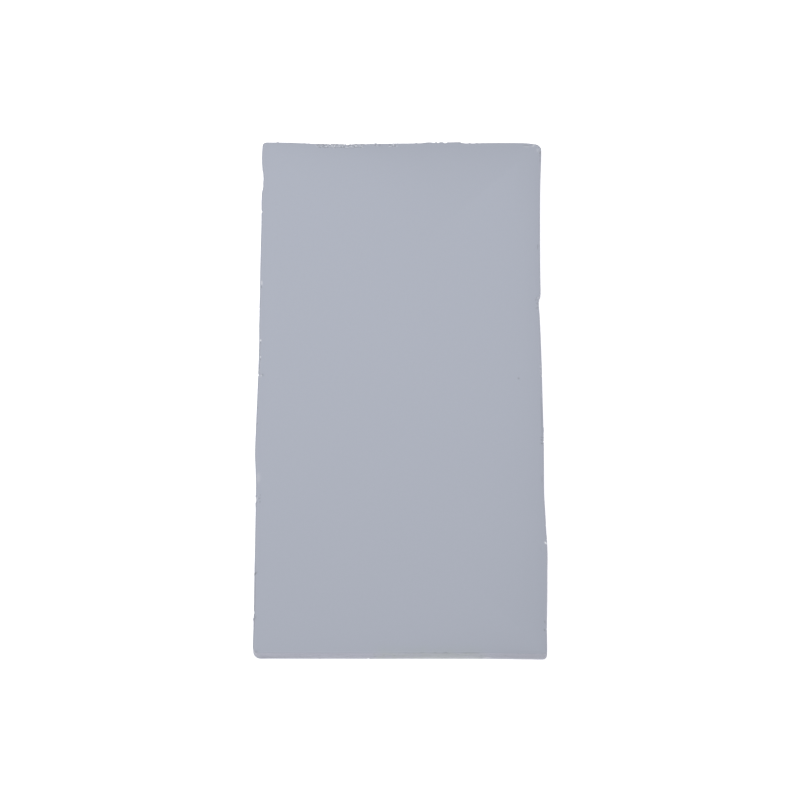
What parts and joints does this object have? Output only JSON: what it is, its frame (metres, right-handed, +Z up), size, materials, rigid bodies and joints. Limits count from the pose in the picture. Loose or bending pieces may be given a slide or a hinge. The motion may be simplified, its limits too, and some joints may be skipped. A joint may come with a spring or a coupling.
{
  "type": "thermal pad sheet",
  "caption": "Flat rectangular sheet of soft, ceramic-filled silicone that carries heat from a chip to its heatsink, cut by hand, with both faces bare.",
  "frame": {"origin": "on the underside, at the middle of the rectangle that the four cuts follow", "axes": "+Z up out of the upper face, +Y along the sheet to its far short edge, +X across it to the right"},
  "size_m": [0.0407, 0.0804, 0.002],
  "materials": {
    "silicone": "matt, slightly tacky, blue-grey silicone filled with fine ceramic powder"
  },
  "bodies": {
    "root": {"pad_sheet": "silicone"}
  },
  "joints": []
}
